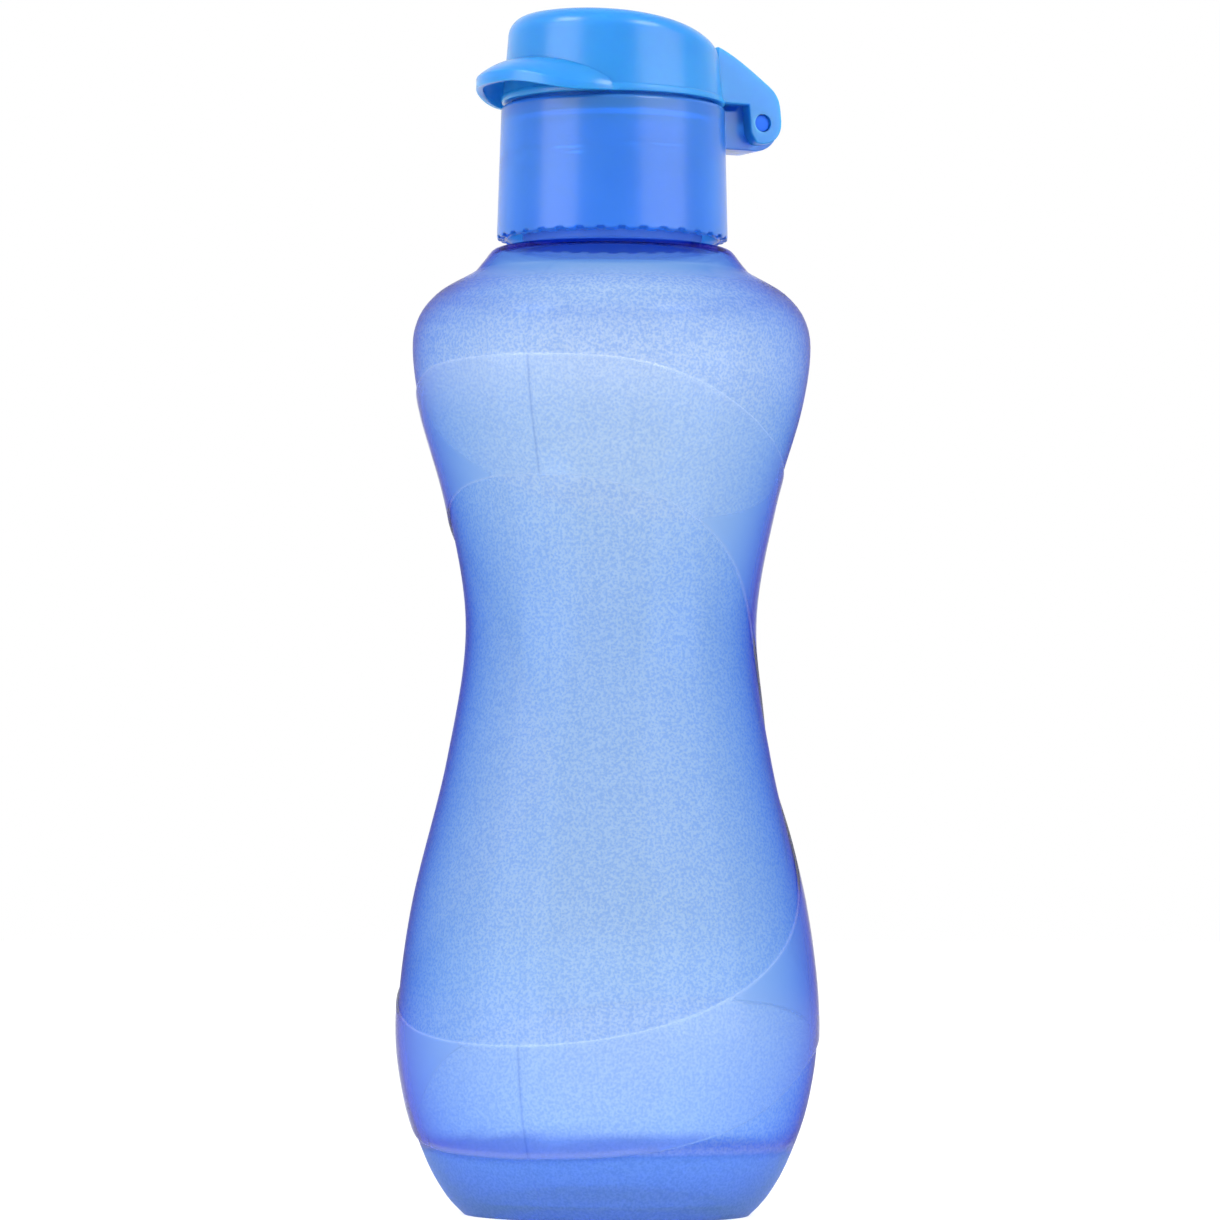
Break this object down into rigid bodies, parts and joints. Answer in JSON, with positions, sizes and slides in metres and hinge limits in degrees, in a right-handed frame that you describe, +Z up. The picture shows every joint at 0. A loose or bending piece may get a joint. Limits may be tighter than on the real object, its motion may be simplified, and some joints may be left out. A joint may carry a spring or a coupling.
{
  "type": "sports squeeze bottle",
  "caption": "Waisted translucent squeeze bottle with a threaded screw cap, a soft drinking spout and a hinged flip lid with a thumb tab.",
  "frame": {"origin": "centre of the standing face, on the bottle's axis", "axes": "+Z up along the bottle's axis, +X towards the lid's hinge, -X towards the thumb tab"},
  "size_m": [0.08, 0.08, 0.2296],
  "materials": {
    "body_plastic": "translucent, fine pebble grain with clear glossy bands",
    "cap_plastic": "translucent satin",
    "lid_plastic": "translucent gloss",
    "pin_plastic": "satin",
    "spout_silicone": "frosted silicone",
    "seal_silicone": "matte silicone"
  },
  "bodies": {
    "bottle": {"bottle_body": "body_plastic"},
    "gasket": {"neck_gasket": "seal_silicone"},
    "cap": {"screw_cap": "cap_plastic", "drinking_spout": "spout_silicone", "hinge_pin": "pin_plastic"},
    "lid": {"flip_lid": "lid_plastic", "lid_seal": "seal_silicone"}
  },
  "joints": [
    {"name": "cap_lift", "type": "slide", "parent": "bottle", "child": "gasket", "axis": [0, 0, 1], "range_m": [0, 0.008]},
    {"name": "cap_turn", "type": "hinge", "parent": "gasket", "child": "cap", "pos_m": [0, 0, 0.2], "axis": [0, 0, 1], "range_deg": [0, 720]},
    {"name": "lid_flip", "type": "hinge", "parent": "cap", "child": "lid", "pos_m": [0.0287, 0, 0.2103], "axis": [0, 1, 0], "range_deg": [0, 135]}
  ],
  "couplings": [
    {"joint": "cap_lift", "follows": "cap_turn", "m_per_rad": 0.00063661}
  ]
}
